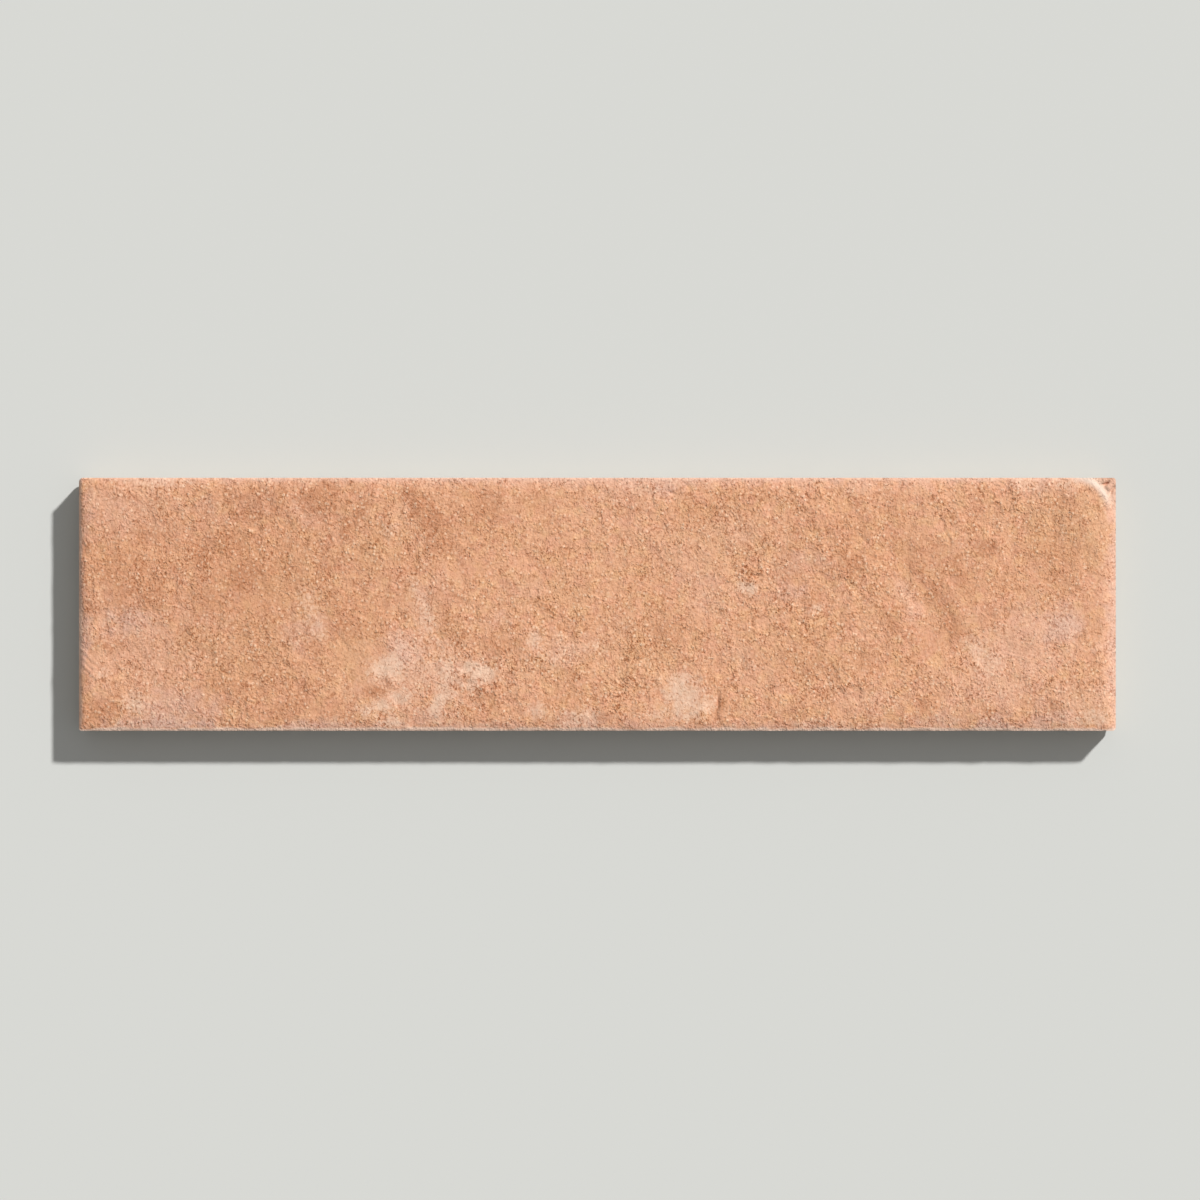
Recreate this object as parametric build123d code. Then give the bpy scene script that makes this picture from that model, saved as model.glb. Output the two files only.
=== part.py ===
from build123d import *
import math
import os

# Porcelain floor tile in a brick format, pressed from one charge of clay and fired in one piece.
# It lies on its ribbed back with the face up: +X runs along it, +Y across it, +Z out of the face.
# The origin is the middle of the back, on the plane that the ribs stand on. Sizes are millimetres.

# Outside of the tile, with the thickness up to the highest swell of the face
length = 246.0
width = 60.0
thickness = 9.0

# Sides: a bevel leaves the die at the back, then an upright land runs up to the arris
bevel_run = 1.2
bevel_rise = 2.0

# Arrises, worn differently on the four sides. Each is a round that leaves the level of the face at
# the lead slope, this far in from the side, and comes down by its drop at the side.
arris_lead_slope = 9.0
left_arris = 2.0
left_arris_drop = 1.25
right_arris = 3.6
right_arris_drop = 1.4
near_arris = 1.0
near_arris_drop = 0.95
far_arris = 0.9
far_arris_drop = 0.7

# Plan corners: how far along its sides each is rubbed off, and how much of that the arc's middle
# lies in from the sharp corner, a little more than a round that runs smoothly into the sides
near_left_corner = 0.7
near_right_corner = 0.8
far_left_corner = 1.0
far_right_corner = 0.6
corner_bluntness = 0.36

# Worn far right corner: the face ends on an arc about a centre that lies this far in from the right
# and the far side. A slope leads down from the arc to a low ledge. Past the arc's ends it runs on
# straight, and moves out of the tile by the fade's share of its way.
wear_inset_from_right = 9.65
wear_inset_from_far = 8.0
wear_radius = 7.6
wear_slope_run = 1.4
wear_drop = 1.3
wear_fade = 0.3

# Lump that was left standing on the ledge
lump_inset_from_right = 1.75
lump_inset_from_far = 1.9
lump_reach = 0.8
lump_height = 0.45

# Pillow of the face: how far it falls at each side, and how far in the fall reaches
left_pillow_drop = 0.30
left_pillow_reach = 1.6
right_pillow_drop = 0.50
right_pillow_reach = 2.5
near_pillow_drop = 0.60
near_pillow_reach = 2.2
far_pillow_drop = 0.45
far_pillow_reach = 2.0

# Broad waves of the face, which the mould took from a hand-made brick.
# Each one: its place as a share of the half length and of the half width, half its long side,
# half its short side, turn of the long side from +X in degrees, and its depth, below 0 for a swell.
face_waves = [
    (0.622, 0.05, 10.0, 3.8, -60.0, 0.36),
    (0.48, 0.30, 9.0, 4.5, -58.0, -0.14),
    (0.40, 0.26, 8.0, 4.5, -50.0, 0.12),
    (0.82, -0.50, 20.0, 11.0, 20.0, -0.12),
    (0.84, 0.62, 12.0, 7.0, -35.0, 0.12),
    (0.22, -0.30, 22.0, 6.0, -48.0, 0.12),
    (-0.10, 0.45, 26.0, 12.0, -20.0, 0.10),
    (-0.34, -0.45, 18.0, 10.0, 25.0, -0.10),
    (-0.57, 0.05, 10.0, 5.0, -60.0, 0.12),
    (-0.72, 0.50, 22.0, 10.0, 10.0, 0.14),
    (-0.86, -0.40, 14.0, 9.0, -35.0, 0.10),
]

# Relief of the back, which keys into the adhesive: low cells between ribs, inside a plain margin
back_margin = 3.0
rib_width = 2.0
cell_pitch = 17.5
cell_depth = 0.8
cell_corner = 1.5
cell_draft = 25.0

# The blank stands this far over the face before its waves are cut
face_stock = 0.6

# The face is a smooth surface through sampled heights: samples in half the short side of the
# narrowest wave, samples in the reach of a pillow, reaches that are sampled so closely, tolerance
samples_per_wave = 1.5
samples_per_reach = 2
close_reaches = 3
surface_tolerance = 0.005


def side_edges(side, reach, arris, drop):
    """Edges of one side of a section, from the back to above the face. side is 1 or -1."""
    level = face_level()
    slope = math.radians(arris_lead_slope)
    stock_top = thickness + face_stock
    foot = (side * (reach - bevel_run), 0)
    land_foot = (side * reach, bevel_rise)
    land_top = (side * reach, level - drop)
    face_edge = (side * (reach - arris), level)
    stock_edge = (side * (reach - arris - (stock_top - level) / math.tan(slope)), stock_top)
    outward = (side * math.cos(slope), -math.sin(slope))
    return [
        Line(foot, land_foot),
        Line(land_foot, land_top),
        TangentArc(face_edge, land_top, tangent=outward),
        Line(face_edge, stock_edge),
    ]


def section(span, first_arris, last_arris):
    """Section from side to side, with stock above the face that its waves are cut from.

    Each arris is given as how far in it starts and its drop."""
    first = side_edges(-1, span / 2, *first_arris)
    last = side_edges(1, span / 2, *last_arris)
    back = Line(first[0] @ 0, last[0] @ 0)
    top = Line(first[-1] @ 1, last[-1] @ 1)
    return make_face(first + last + [back, top])


def plan_outline():
    """Outline seen from above, with each corner rubbed off to a blunt arc."""
    corners = [
        (-1, -1, near_left_corner),
        (1, -1, near_right_corner),
        (1, 1, far_right_corner),
        (-1, 1, far_left_corner),
    ]
    arcs = []
    for x_side, y_side, rub in corners:
        corner = Vector(x_side * length / 2, y_side * width / 2)
        along_side = Vector(-x_side * rub, 0)
        along_end = Vector(0, -y_side * rub)
        ends = [corner + along_side, corner + along_end]
        if x_side == y_side:
            ends.reverse()
        middle = corner + (along_side + along_end) * corner_bluntness
        arcs.append(ThreePointArc(ends[0], middle, ends[1]))
    sides = [Line(arc @ 1, following @ 0) for arc, following in zip(arcs, arcs[1:] + arcs[:1])]
    return make_face(arcs + sides)


def blank():
    """The pressed slab: both sections run through it, inside the plan outline."""
    along_section = section(length, (left_arris, left_arris_drop), (right_arris, right_arris_drop))
    across_section = section(width, (near_arris, near_arris_drop), (far_arris, far_arris_drop))
    along = extrude(Plane.XZ * along_section, width / 2, both=True)
    across = extrude(Plane.YZ * across_section, length / 2, both=True)
    return along & across & extrude(plan_outline(), thickness + face_stock)


def face_level():
    """Height of the face between its waves, which leaves room for the highest swell."""
    return thickness - max(-depth for *place_and_size, depth in face_waves)


def wave_fall(x, y):
    """How far the waves take the face down at a point: each fades smoothly round its own oval."""
    fall = 0.0
    for along, across, half_length, half_width, turn, depth in face_waves:
        dx = x - along * length / 2
        dy = y - across * width / 2
        angle = math.radians(turn)
        u = (dx * math.cos(angle) + dy * math.sin(angle)) / half_length
        v = (dy * math.cos(angle) - dx * math.sin(angle)) / half_width
        fall += depth * math.exp(-u * u - v * v)
    return fall


def pillow_fall(x, y):
    """How far the pillow takes the face down at a point, most at the sides."""
    sides = [
        (length / 2 + x, left_pillow_drop, left_pillow_reach),
        (length / 2 - x, right_pillow_drop, right_pillow_reach),
        (width / 2 + y, near_pillow_drop, near_pillow_reach),
        (width / 2 - y, far_pillow_drop, far_pillow_reach),
    ]
    return sum(drop * math.exp(-distance / reach) for distance, drop, reach in sides)


def sample_places(span, first_reach, last_reach):
    """Places to sample along a span: close where the pillow bends, starting outside the side."""
    wave_half_widths = [half_width for *place, half_width, turn, depth in face_waves]
    pitch = min(wave_half_widths) / samples_per_wave
    steps = range(-samples_per_reach, close_reaches * samples_per_reach)
    first = [first_reach * step / samples_per_reach - span / 2 for step in steps]
    last = [span / 2 - last_reach * step / samples_per_reach for step in reversed(steps)]
    inner_low = close_reaches * first_reach - span / 2
    inner_high = span / 2 - close_reaches * last_reach
    count = math.ceil((inner_high - inner_low) / pitch)
    inner = [inner_low + (inner_high - inner_low) * step / count for step in range(count + 1)]
    return first + inner + last


def above_face():
    """Everything over the waved face, up past the stock of the blank."""
    places_x = sample_places(length, left_pillow_reach, right_pillow_reach)
    places_y = sample_places(width, near_pillow_reach, far_pillow_reach)
    level = face_level()
    rows = [[(x, y, level - wave_fall(x, y) - pillow_fall(x, y)) for x in places_x] for y in places_y]
    face = Face.make_surface_from_array_of_points(rows, tol=surface_tolerance, min_deg=3, max_deg=5)
    return extrude(face, thickness, dir=(0, 0, 1))


def worn_corner():
    """What wear took off the far right corner, with the lump that it left standing."""
    ledge = thickness - wear_drop
    top = thickness + face_stock
    slope_foot = wear_radius + wear_slope_run
    slope_top = wear_radius - wear_slope_run * face_stock / wear_drop
    past_corner = wear_inset_from_right + wear_inset_from_far
    profile = make_face(
        Polyline((slope_top, top), (slope_foot, ledge), (past_corner, ledge), (past_corner, top), close=True)
    )
    turned = revolve(Plane.XZ * profile, Axis.Z, revolution_arc=90)
    past_right_end = extrude(Plane.XZ * profile, past_corner, dir=(wear_fade, -1, 0))
    past_far_end = extrude(Plane.YZ * profile, past_corner, dir=(-1, wear_fade, 0))
    centre = Pos(length / 2 - wear_inset_from_right, width / 2 - wear_inset_from_far)
    ball_radius = (lump_reach**2 + lump_height**2) / (2 * lump_height)
    ball_place = Pos(
        length / 2 - lump_inset_from_right,
        width / 2 - lump_inset_from_far,
        ledge + lump_height - ball_radius,
    )
    lump = ball_place * Rot(90, 0, 0) * Sphere(ball_radius)
    return centre * (turned + past_right_end + past_far_end) - lump


def back_cells():
    """Drafted cells of the back, an even number along it, so that a rib crosses its middle."""
    room_x = length - 2 * (bevel_run + back_margin) + rib_width
    room_y = width - 2 * (bevel_run + back_margin) + rib_width
    count_x = 2 * max(1, round(room_x / cell_pitch / 2))
    count_y = max(1, round(room_y / cell_pitch))
    pitch_x = room_x / count_x
    pitch_y = room_y / count_y
    mouth = Rectangle(pitch_x - rib_width, pitch_y - rib_width)
    cell = extrude(mouth, cell_depth, taper=cell_draft)
    wall_corners = cell.edges().group_by(Axis.Z)[1]
    cell = fillet(wall_corners, cell_corner)
    return [place * cell for place in GridLocations(pitch_x, pitch_y, count_x, count_y)]


tile = blank() - above_face() - worn_corner() - back_cells()
tile.label = "tile"

os.makedirs("parts", exist_ok=True)
export_step(tile, "parts/tile.step")
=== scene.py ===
import math
import bpy
import numpy as np
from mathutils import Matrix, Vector


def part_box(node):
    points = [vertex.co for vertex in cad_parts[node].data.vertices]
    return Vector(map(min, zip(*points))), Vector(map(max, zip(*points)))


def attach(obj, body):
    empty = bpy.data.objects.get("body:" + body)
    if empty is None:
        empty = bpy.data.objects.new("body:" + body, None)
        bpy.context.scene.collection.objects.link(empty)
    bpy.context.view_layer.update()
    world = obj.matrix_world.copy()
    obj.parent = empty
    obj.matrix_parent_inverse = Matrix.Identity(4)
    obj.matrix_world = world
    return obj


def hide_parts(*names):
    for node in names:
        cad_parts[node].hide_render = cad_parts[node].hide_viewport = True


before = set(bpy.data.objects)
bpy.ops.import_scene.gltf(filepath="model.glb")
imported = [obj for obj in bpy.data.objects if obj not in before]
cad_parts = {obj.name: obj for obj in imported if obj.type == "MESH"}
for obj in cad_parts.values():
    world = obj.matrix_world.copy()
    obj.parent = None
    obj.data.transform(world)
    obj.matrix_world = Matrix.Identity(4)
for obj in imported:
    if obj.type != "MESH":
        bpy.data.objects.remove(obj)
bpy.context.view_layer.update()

# The fired body of the tile: one slab of clay, pressed in a steel die and fired. Its face was
# moulded from an old hand-made brick, so it is sandy and waved, with worn arrises and one worn
# corner, and its back has low cells. Sizes are millimetres, up to where the mesh takes its points.
mm = 0.001
box_low, box_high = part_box("tile")
half_length = (box_high.x - box_low.x) / 2 / mm
half_width = (box_high.y - box_low.y) / 2 / mm
thickness = box_high.z / mm

# Arrises, which leave the level of the face at the lead slope: how far in from its side each
# starts, and its drop. They wander over a few millimetres and crumble over less.
lead_slope = math.radians(9)
arrises = {"left": (2.0, 1.25), "right": (3.6, 1.4), "near": (0.9, 0.72), "far": (0.9, 0.7)}
arris_blend = 0.28
arris_wander = 0.16
arris_crumble = 0.12

# Pillow of the face: how far it falls at each side, and how far in the fall reaches. The four
# corners of the outline are rounded.
pillows = {"left": (0.30, 1.6), "right": (0.50, 2.5), "near": (0.60, 2.2), "far": (0.45, 2.0)}
corner_radii = {(-1, -1): 0.7, (1, -1): 0.8, (-1, 1): 1.0, (1, 1): 0.6}

# The worn far right corner: a slope leads down from an arc to a rough ledge with one lump left
wear_radius = 7.6
wear_inset = (9.65, 8.0)
wear_run = 1.4
wear_drop = 1.3
wear_centre = (half_length - wear_inset[0], half_width - wear_inset[1])
wear_fade = 0.3
wear_blend = 0.3
ledge_lumps = 0.12
ledge_grit = 0.05
lump_inset = (1.75, 1.9)
lump_reach = 0.8
lump_height = 0.5

# The level of the face leaves room for its swells and its sand, which are rounded off at the top
swell = 0.26
crest = thickness - swell
top_blend = 0.12

# Waves of the face: place, half long side, half short side, turn in degrees, and depth, which is
# below 0 for a swell
face_waves = [
    (76.5, 1.5, 10.0, 3.8, -60.0, 0.36),
    (59.0, 9.0, 9.0, 4.5, -58.0, -0.14),
    (49.2, 7.8, 8.0, 4.5, -50.0, 0.12),
    (100.9, -15.0, 20.0, 11.0, 20.0, -0.12),
    (103.3, 18.6, 12.0, 7.0, -35.0, 0.12),
    (27.1, -9.0, 22.0, 6.0, -48.0, 0.12),
    (-12.3, 13.5, 26.0, 12.0, -20.0, 0.10),
    (-41.8, -13.5, 18.0, 10.0, 25.0, -0.10),
    (-70.1, 1.5, 10.0, 5.0, -60.0, 0.12),
    (-88.6, 15.0, 22.0, 10.0, 10.0, 0.14),
    (-105.8, -12.0, 14.0, 9.0, -35.0, 0.10),
]

# Creases that the soft clay kept: both ends, half width, depth, and the side its lip stands on.
# All are taken deeper by the gain, so that they still show among the sand, and their lines wander.
crease_gain = 1.4
crease_wander = 0.35
lip_breadth = 1.4
creases = [
    ((79.8, 24.2), (84.3, 13.8), 0.32, 0.15, 1),
    ((80.4, 24.6), (84.9, 14.2), 0.4, -0.08, 1),
    ((56.6, 7.2), (62.0, 2.2), 0.5, 0.15, -1),
    ((35.9, 7.6), (38.9, 6.2), 0.35, 0.18, 1),
    ((12.6, 27.3), (13.4, 22.6), 0.4, 0.13, 1),
    ((16.2, 27.3), (18.4, 25.9), 0.4, 0.15, 1),
    ((20.4, 29.0), (21.6, 27.8), 0.35, 0.14, 1),
    ((13.3, 13.3), (14.6, 11.4), 0.35, 0.12, 1),
    ((49.7, 12.9), (51.2, 10.9), 0.35, 0.12, -1),
    ((93.4, 29.0), (96.4, 26.4), 0.35, 0.12, 1),
    ((95.2, 29.2), (98.4, 26.2), 0.35, 0.12, 1),
    ((97.3, 29.2), (99.8, 26.9), 0.35, 0.10, 1),
    ((61.0, 17.2), (64.0, 14.2), 0.4, 0.14, 1),
    ((60.6, 8.6), (62.2, 7.4), 0.4, 0.12, 1),
    ((92.4, -2.4), (94.0, -3.6), 0.4, 0.16, 1),
    ((105.2, -7.6), (106.4, -12.4), 0.4, 0.10, -1),
    ((83.2, -1.4), (84.4, -5.4), 0.5, 0.12, 1),
    ((72.0, 3.8), (76.2, -1.4), 0.5, 0.10, -1),
    ((35.6, -0.6), (36.8, -4.4), 0.4, 0.12, 1),
    ((47.8, -3.4), (49.2, -5.8), 0.4, 0.12, 1),
    ((-15.0, 11.4), (-13.6, 8.2), 0.35, 0.12, 1),
    ((-62.0, -5.6), (-58.8, -11.4), 0.5, 0.10, 1),
    ((56.6, -19.6), (60.2, -22.6), 0.4, 0.12, 1),
    ((-79.0, 1.0), (-76.2, -3.8), 0.4, 0.08, 1),
    ((28.7, -20.2), (28.2, -27.3), 0.32, 0.2, 1),
    ((-91.0, -18.0), (-81.4, -28.6), 0.4, 0.10, 1),
    ((-98.2, -5.9), (-94.4, -10.6), 0.4, 0.10, 1),
    ((-76.6, -11.4), (-73.0, -15.7), 0.4, 0.12, 1),
]

# Deeper ones in the ledge of the worn corner
ledge_creases = [
    ((119.7, 28.2), (121.2, 29.0), 0.28, 0.6, 1),
    ((122.8, 28.3), (121.6, 26.0), 0.25, 0.35, -1),
]

# Ridges that fingers raised across the left arris: how many, where the first starts, the step to
# the next, how each runs, half its width, its height and how far its line wanders
finger_ridges = 3
finger_start = (-123.0, -10.1)
finger_step = (0.3, -1.9)
finger_run = (3.8, -3.7)
finger_half_wide = 0.33
finger_height = 0.16
finger_wander = 0.08


def cloud(x, y, size, seed):
    """Smooth random heights from -1 to 1. The plane is turned by an angle of its own and cut into
    squares of the given size. Each corner of a square has a random value, and inside it the four
    are blended along and across by s = 6t^5 - 15t^4 + 10t^3."""
    draw = np.random.default_rng(seed)
    count = 256
    table = draw.uniform(-1, 1, (count, count))
    turn = draw.uniform(0, math.pi)
    u = (x * math.cos(turn) - y * math.sin(turn)) / size
    v = (x * math.sin(turn) + y * math.cos(turn)) / size
    i, j = np.floor(u).astype(int), np.floor(v).astype(int)
    s, t = (part**3 * (part * (part * 6 - 15) + 10) for part in (u - i, v - j))
    i, next_i = i % count, (i + 1) % count
    j, next_j = j % count, (j + 1) % count
    low_edge = table[i, j] * (1 - s) + table[next_i, j] * s
    high_edge = table[i, next_j] * (1 - s) + table[next_i, next_j] * s
    return low_edge * (1 - t) + high_edge * t


def across_and_along(x, y, place, turn):
    """Distances from a place, across a direction turned from +X by degrees, and along it."""
    angle = math.radians(turn)
    dx, dy = x - place[0], y - place[1]
    along = dx * math.cos(angle) + dy * math.sin(angle)
    return dy * math.cos(angle) - dx * math.sin(angle), along


def add_ovals(total, x, y, ovals):
    """A total with each oval's strength * exp(-q) added to it, q the squared oval distance."""
    for place_x, place_y, half_long, half_short, turn, strength in ovals:
        across, along = across_and_along(x, y, (place_x, place_y), turn)
        total = total + strength * np.exp(-((along / half_long) ** 2) - (across / half_short) ** 2)
    return total


def crease(x, y, start, end, half_wide, depth, lip, wander=crease_wander):
    """Height of one crease: a valley -d * exp(-(a / w)^2) across its line, d its depth times the
    gain, with a broader lip a third as high beside it, both fading out at the ends as
    exp(-(2s)^6) with s from -0.5 to 0.5 along it. The line wanders to its sides by a cloud, and a
    depth below 0 makes a ridge."""
    run = np.subtract(end, start)
    middle = np.add(start, end) / 2
    across, along = across_and_along(x, y, middle, math.degrees(math.atan2(run[1], run[0])))
    across = across + wander * cloud(x, y, 1.6, 41)
    ends = np.exp(-((2 * along / np.hypot(*run)) ** 6))
    valley = np.exp(-((across / half_wide) ** 2))
    ridge = np.exp(-(((across - lip * 2 * half_wide) / (lip_breadth * half_wide)) ** 2))
    return crease_gain * depth * ends * (ridge / 3 - valley)


def flaked(heights):
    """Turns smooth heights into flats with steeper steps between them: tanh(3 h) / tanh(3)."""
    return np.tanh(3 * heights) / math.tanh(3)


# How the grain ran in the mould: up the face and a little to the right, and longer than wide. It
# grows coarser towards the right end, where its ridges and layers lean further.
grain_turn = 79
coarse_turn = 66
grain_stretch = 2.1
layer_stretch = 1.2
coarse_start = -40
coarse_run = 120

# Heights of the relief: swells, ridges, flakes, grit and layers, with what the coarse end adds,
# and the pits, which are cut where their cloud is above a level
swell_height = 0.045
ridge_height, coarse_ridge = 0.075, 0.05
flake_height, coarse_flake = 0.050, 0.008
layer_height, coarse_layer = 0.048, 0.02
grit_height = 0.036
pit_depth = 0.5
pit_level = 0.45

# Where the sand stands out more, or less, than elsewhere: place, half sizes, turn, strength
least_sand = 0.35
sandier = [
    (-94.4, 14.0, 8, 6, 0, 0.15), (-48.0, 14.0, 10, 7, 0, 0.2), (-70.6, 27.0, 4, 5, 0, 0.12),
    (-94.4, -9.7, 7, 8, 0, 0.17), (-75.4, -12.1, 4, 4, 0, 0.2), (-30.2, -19.2, 5, 7, 0, 0.25),
    (-20.7, -18.0, 12, 8, 0, 0.2), (-8.8, -8.5, 6, 6, 0, 0.1), (6.7, -18.5, 4.3, 11, -20, 0.38),
    (12.6, 8.1, 12, 9, 0, -0.06), (29.2, 22.4, 6, 4.3, 0, 0.1), (35.2, 7.0, 4.3, 5.2, 0, 0.3),
    (45.9, -1.4, 9.5, 4.8, -30, 0.32), (58.9, 5.7, 4.8, 4.8, 0, 0.22), (41.1, 17.6, 6, 4.8, 0, 0.02),
    (57.8, -19.2, 11.9, 2.6, 0, 0.4), (98.2, 27.1, 3, 7, 0, 0.3), (108.9, 20.0, 6, 7, 0, 0.04),
    (81.5, 22.4, 2.2, 4.8, 0, 0.3), (106.5, -13.3, 3, 4.8, 0, 0.17), (-119.3, -11, 4, 8, 0, 0.12),
    (-14.7, 24.7, 9.5, 4.3, -12, -0.38), (-29.0, 8.1, 3, 3, 0, -0.42), (-34.4, 8, 5, 13, 0, -0.2),
    (-77.7, 1.0, 12, 5, 0, -0.22), (-63.5, -8.5, 9.5, 7.1, 0, -0.2), (-55.1, -10.9, 6, 4.8, 0, -0.35),
    (-57.5, -18.0, 4.8, 3.6, 0, -0.35), (-49.2, 1.0, 4.3, 2.4, 0, -0.3), (-63.5, -25.2, 6, 5, 0, -0.2),
    (79.2, 15.2, 9.5, 11.9, 0, -0.25), (72.0, 8.1, 7, 9.5, 0, -0.2), (77.9, -8.5, 4.8, 3.6, 0, -0.4),
    (86.3, 1.0, 6, 7, 0, -0.22), (100.5, -8.5, 4.8, 6, 0, -0.3), (114.8, -1.4, 6, 8.3, 0, -0.3),
    (92.2, 10.5, 5, 5, 0, -0.18), (100.5, -22.8, 4.8, 3, 0, -0.22), (19.7, -21.6, 6, 3.6, 0, -0.27),
    (-11.7, -22.8, 4, 3, 0, -0.3), (-113.4, 3.4, 6, 5, 0, -0.12), (-106.3, -22.8, 5, 3, 0, -0.15),
    (-120.9, -12.6, 2.4, 3.2, 0, -0.7), (-6, 5, 10, 7, 0, -0.1),
]


def sandiness(x, y):
    """Strength of the grain: 1, a tenth of a cloud of a centimetre, and the ovals, but never less
    than the least."""
    return np.maximum(add_ovals(1 + 0.1 * cloud(x, y, 10.0, 17), x, y, sandier), least_sand)


def leaning_cloud(x, y, coarse, stretch, size, seeds):
    """A cloud that is stretched along the grain, and leans further the coarser the grain is: one
    cloud for each direction, mixed by the square roots of their shares, so that it stays as high."""
    height = np.zeros_like(x)
    for share, turn, seed in zip((1 - coarse, coarse), (grain_turn, coarse_turn), seeds):
        across, along = across_and_along(x, y, (0, 0), turn)
        height += np.sqrt(share) * cloud(across, along / grain_stretch / stretch, size, seed)
    return height


def relief(x, y):
    """Height of the sandy relief: clouds of six sizes, most of them longer up the grain, two of
    them flaked and one squared into pits, coarser towards the right end, then the creases."""
    coarse = np.clip((x - coarse_start) / coarse_run, 0, 1)
    across, along = across_and_along(x, y, (0, 0), grain_turn)
    along = along / grain_stretch
    height = swell_height * cloud(x, y, 9.0, 11)
    height += (ridge_height + coarse_ridge * coarse) * leaning_cloud(x, y, coarse, 1, 3.6, (12, 18))
    sand = (flake_height + coarse_flake * coarse) * flaked(cloud(across, along, 1.9, 13))
    sand += grit_height * cloud(across, along, 1.0, 14)
    sand -= pit_depth * np.maximum(cloud(across, along, 1.5, 15) - pit_level, 0) ** 2
    layers = leaning_cloud(x, y, coarse, layer_stretch, 2.4, (16, 19))
    sand += (layer_height + coarse_layer * coarse) * flaked(layers)
    height += sand * sandiness(x, y)
    for start, end, half_wide, depth, lip in creases:
        height += crease(x, y, start, end, half_wide, depth, lip)
    return height


def arris(distance, width, drop):
    """Height over an arris at a distance in from its side: a round that leaves the face's level
    at the lead slope and comes down by the drop at the side, then a straight line inwards. Its
    radius is chord / (2 sin(half turn)), and its centre lies square to the lead slope."""
    half_turn = np.arctan2(drop, width) - lead_slope
    radius = np.hypot(width, drop) / (2 * np.sin(half_turn))
    centre = width + radius * math.sin(lead_slope)
    centre_height = crest - radius * math.cos(lead_slope)
    rounded = centre_height + np.sqrt(np.maximum(radius**2 - (distance - centre) ** 2, 0))
    straight = crest + (distance - width) * math.tan(lead_slope)
    return np.where(distance < width, rounded, straight)


def softly_lower(first, second, blend):
    """The lower of two heights, rounded where they differ by less than the blend: there it is less
    by c^2 * blend / 4, with c = 1 - difference / blend."""
    closeness = np.maximum(1 - np.abs(first - second) / blend, 0)
    return np.minimum(first, second) - closeness**2 * blend / 4


def side_distances(x, y):
    """Distance of each point from the four sides."""
    return {
        "left": x + half_length,
        "right": half_length - x,
        "near": y + half_width,
        "far": half_width - y,
    }


def wear_distance(x, y):
    """How far a point lies outside the arc that the worn corner left, negative inside it. Past the
    arc's ends the line runs on along the sides and moves out of the tile by the fade's share."""
    dx, dy = x - wear_centre[0], y - wear_centre[1]
    past_ends = np.maximum(-dx, 0) + np.maximum(-dy, 0)
    return np.hypot(np.maximum(dx, 0), np.maximum(dy, 0)) - wear_radius - wear_fade * past_ends


def face_height(x, y):
    """Height of the face over the back: the lowest of the waved, sandy pillow, the rounds of the
    four arrises, with the finger ridges raised across the left one, and at the worn corner the
    higher of a straight slope and a rough ledge."""
    height = crest - add_ovals(0, x, y, face_waves) + relief(x, y)
    distances = side_distances(x, y)
    for side, (drop, reach) in pillows.items():
        height = height - drop * np.exp(-distances[side] / reach)
    wander = 1 + arris_wander * cloud(x, y, 7.0, 21) + arris_crumble * cloud(x, y, 2.4, 22)
    for side, (width, drop) in arrises.items():
        height = softly_lower(height, arris(distances[side], width * wander, drop), arris_blend)
    for number in range(finger_ridges):
        start = np.add(finger_start, np.multiply(number, finger_step))
        end = np.add(start, finger_run)
        height += crease(x, y, start, end, finger_half_wide, -finger_height, -1, finger_wander)
    height = softly_lower(height, thickness, top_blend)
    outside = wear_distance(x, y)
    ledge = thickness - wear_drop
    ledge += ledge_lumps * cloud(x, y, 1.3, 31) + ledge_grit * cloud(x, y, 0.7, 32)
    dx, dy = half_length - lump_inset[0] - x, half_width - lump_inset[1] - y
    ledge += lump_height * np.exp(-((np.hypot(dx, dy) / lump_reach) ** 2))
    for start, end, half_wide, depth, lip in ledge_creases:
        ledge += crease(x, y, start, end, half_wide, depth, lip)
    slope = crest - (wear_drop - swell) * outside / wear_run
    return softly_lower(height, np.maximum(slope, ledge), wear_blend)


# A length that is too short to matter, where rounding would add a line or divide by zero
hair = 1e-6


def graded(half, pitch, edge_pitch, first_band, last_band):
    """Places from one side to the other: close together in a band beside each side, and a pitch
    apart between the bands."""
    first = np.arange(-half, -half + first_band - hair, edge_pitch)
    last = half - np.arange(0, last_band - hair, edge_pitch)[::-1]
    inner_span = 2 * half - first_band - last_band
    inner = np.linspace(-half + first_band, half - last_band, round(inner_span / pitch) + 1)
    return np.concatenate([first, inner, last])


def pull_round(dx, dy):
    """What a point of a corner's square is pulled in by, so that the larger of its two distances
    from the square's inner corner becomes its radius: max(dx, dy) / hypot(dx, dy)."""
    return np.maximum(dx, dy) / np.maximum(np.hypot(dx, dy), hair)


def round_corners(x, y):
    """Bends a rectangle's grid round its corners, by pulling in the points of each one's square."""
    for (side_x, side_y), radius in corner_radii.items():
        dx = side_x * x - (half_length - radius)
        dy = side_y * y - (half_width - radius)
        inside = (dx > 0) & (dy > 0)
        pull = pull_round(dx, dy)
        x = np.where(inside, side_x * (half_length - radius + dx * pull), x)
        y = np.where(inside, side_y * (half_width - radius + dy * pull), y)
    return x, y


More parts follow.
